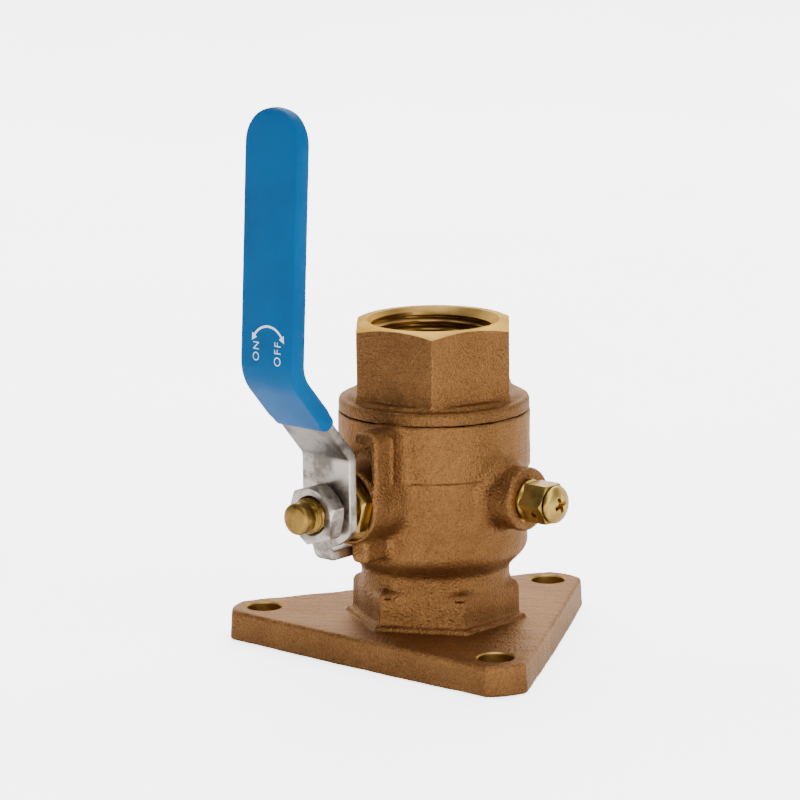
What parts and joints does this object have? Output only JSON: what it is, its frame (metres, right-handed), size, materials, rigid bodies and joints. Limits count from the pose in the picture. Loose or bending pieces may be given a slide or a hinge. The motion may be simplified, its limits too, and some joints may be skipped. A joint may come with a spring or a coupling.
{
  "type": "flanged seacock valve",
  "caption": "Bronze ball valve on a three-lobed hull flange, with a hexagonal hose end, a cranked lever with a dipped grip, and a drain plug.",
  "frame": {"origin": "on the flow axis, in the plane of the flange's hull face", "axes": "+Z along the flow axis from the hull flange up to the hose port, -Y from the flow axis out along the stem to the lever, +X from the flow axis out to the drain plug"},
  "size_m": [0.0998, 0.1191, 0.1494],
  "materials": {
    "cast_bronze": "sand cast, fine grain",
    "brass": "turned, bright",
    "chromed_brass": "polished",
    "stainless_steel": "tumbled, matte",
    "ptfe": "waxy",
    "seal_rubber": "matte",
    "blue_vinyl": "satin dipped coating"
  },
  "bodies": {
    "valve_body": {"body": "cast_bronze", "tailpiece": "cast_bronze", "tailpiece_o_ring": "seal_rubber", "seat_lower": "ptfe", "seat_upper": "ptfe", "thrust_washer": "ptfe", "packing_ring_lower": "ptfe", "packing_ring_middle": "ptfe", "packing_ring_upper": "ptfe", "gland_follower": "brass", "gland_nut": "brass", "drain_fitting": "brass"},
    "lever": {"stem": "brass", "handle": "stainless_steel", "handle_grip": "blue_vinyl", "lock_washer": "stainless_steel", "handle_nut": "stainless_steel"},
    "ball": {"ball": "chromed_brass"},
    "drain_seal": {"drain_screw_o_ring": "seal_rubber"},
    "drain_screw": {"drain_screw": "brass"}
  },
  "joints": [
    {"name": "lever_turn", "type": "hinge", "parent": "valve_body", "child": "lever", "pos_m": [0, -0.034, 0.0437], "axis": [0, 1, 0], "range_deg": [0, 90]},
    {"name": "ball_turn", "type": "hinge", "parent": "valve_body", "child": "ball", "pos_m": [0, 0, 0.0437], "axis": [0, 1, 0], "range_deg": [0, 90]},
    {"name": "drain_slide", "type": "slide", "parent": "valve_body", "child": "drain_seal", "axis": [1, 0, 0], "range_m": [0, 0.0014]},
    {"name": "drain_turn", "type": "hinge", "parent": "drain_seal", "child": "drain_screw", "pos_m": [0.036, 0, 0.0437], "axis": [1, 0, 0], "range_deg": [0, 720]}
  ],
  "couplings": [
    {"joint": "ball_turn", "follows": "lever_turn", "ratio": 1},
    {"joint": "drain_turn", "follows": "drain_slide", "rad_per_m": 8975.9}
  ]
}
